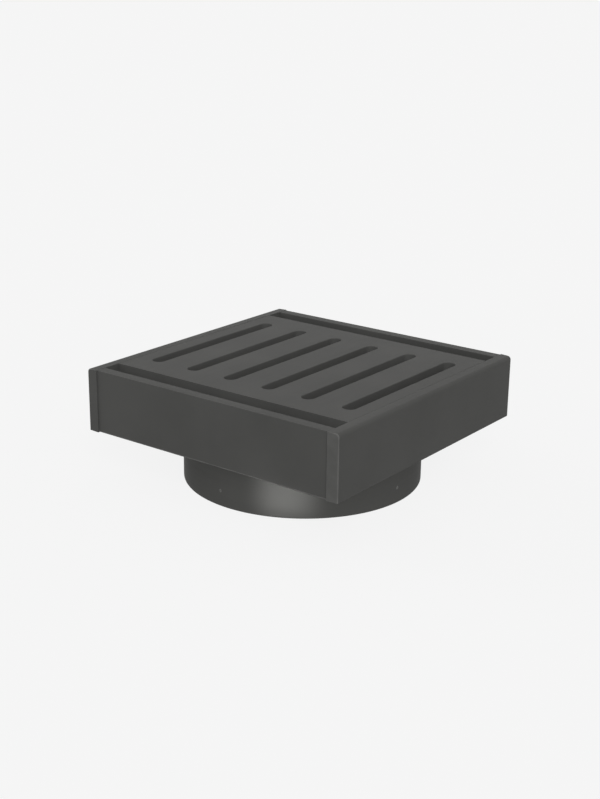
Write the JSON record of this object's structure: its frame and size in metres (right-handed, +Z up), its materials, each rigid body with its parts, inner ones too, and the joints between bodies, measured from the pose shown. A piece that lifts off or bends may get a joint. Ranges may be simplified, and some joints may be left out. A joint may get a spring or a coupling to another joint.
{
  "type": "square floor drain",
  "caption": "Square floor drain with a slotted lift-out grate in a deep frame, over a round outlet spigot holding a hair strainer and a sprung odour seal.",
  "frame": {"origin": "centre of the outlet spigot's lower end, which is the bottom of the whole part", "axes": "+Z up, out of the grate; +X across the grate's slots; +Y along the slots"},
  "size_m": [0.1, 0.1, 0.039],
  "materials": {
    "coated_steel": "satin gunmetal coating",
    "coated_grate": "satin gunmetal coating, slightly smoother on top",
    "coated_spigot": "smooth gunmetal coating with a soft metallic sheen",
    "stainless": "turned stainless steel",
    "stainless_sheet": "spun and punched stainless sheet",
    "spring_steel": "drawn stainless wire",
    "black_rubber": "matt moulded rubber",
    "black_plastic": "fine moulded texture",
    "bush_plastic": "natural acetal, turned"
  },
  "bodies": {
    "frame": {"left_wall": "coated_steel", "right_wall": "coated_steel", "front_wall": "coated_steel", "back_wall": "coated_steel", "floor_plate": "coated_steel", "outlet_spigot": "coated_spigot", "rest_lug_1": "coated_steel", "rest_lug_2": "coated_steel", "rest_lug_3": "coated_steel", "rest_lug_4": "coated_steel", "stop_pin_1": "stainless", "stop_pin_2": "stainless", "stop_pin_3": "stainless", "stop_pin_4": "stainless"},
    "grate": {"grate_plate": "coated_grate", "locating_stud_1": "stainless", "locating_stud_2": "stainless", "locating_stud_3": "stainless", "locating_stud_4": "stainless", "rubber_buffer_1": "black_rubber", "rubber_buffer_2": "black_rubber", "rubber_buffer_3": "black_rubber", "rubber_buffer_4": "black_rubber"},
    "strainer": {"strainer_rim": "stainless_sheet", "strainer_wall": "stainless_sheet", "strainer_top": "stainless_sheet", "strainer_knob": "stainless", "knob_screw": "stainless"},
    "odour_seal": {"seal_housing": "black_plastic", "valve_seat": "black_plastic", "guide_spider": "black_plastic", "upper_o_ring": "black_rubber", "lower_o_ring": "black_rubber", "guide_bush": "bush_plastic", "return_spring": "spring_steel"},
    "valve": {"valve_disc": "black_plastic", "valve_gasket": "black_rubber", "valve_stem": "stainless", "spring_cap": "black_plastic", "stem_clip": "spring_steel"}
  },
  "joints": [
    {"name": "grate_lift", "type": "slide", "parent": "frame", "child": "grate", "axis": [0, 0, 1], "range_m": [0, 0.09]},
    {"name": "strainer_lift", "type": "slide", "parent": "frame", "child": "strainer", "axis": [0, 0, 1], "range_m": [0, 0.0585]},
    {"name": "seal_lift", "type": "slide", "parent": "frame", "child": "odour_seal", "axis": [0, 0, 1], "range_m": [0, 0.036]},
    {"name": "valve_drop", "type": "slide", "parent": "odour_seal", "child": "valve", "axis": [0, 0, -1], "range_m": [0, 0.005], "stiffness_N_per_m": 40, "springref_m": -0.008, "deforming": ["return_spring"]}
  ],
  "couplings": [
    {"joint": "strainer_lift", "follows": "grate_lift", "ratio": 0.65},
    {"joint": "seal_lift", "follows": "grate_lift", "ratio": 0.4}
  ]
}
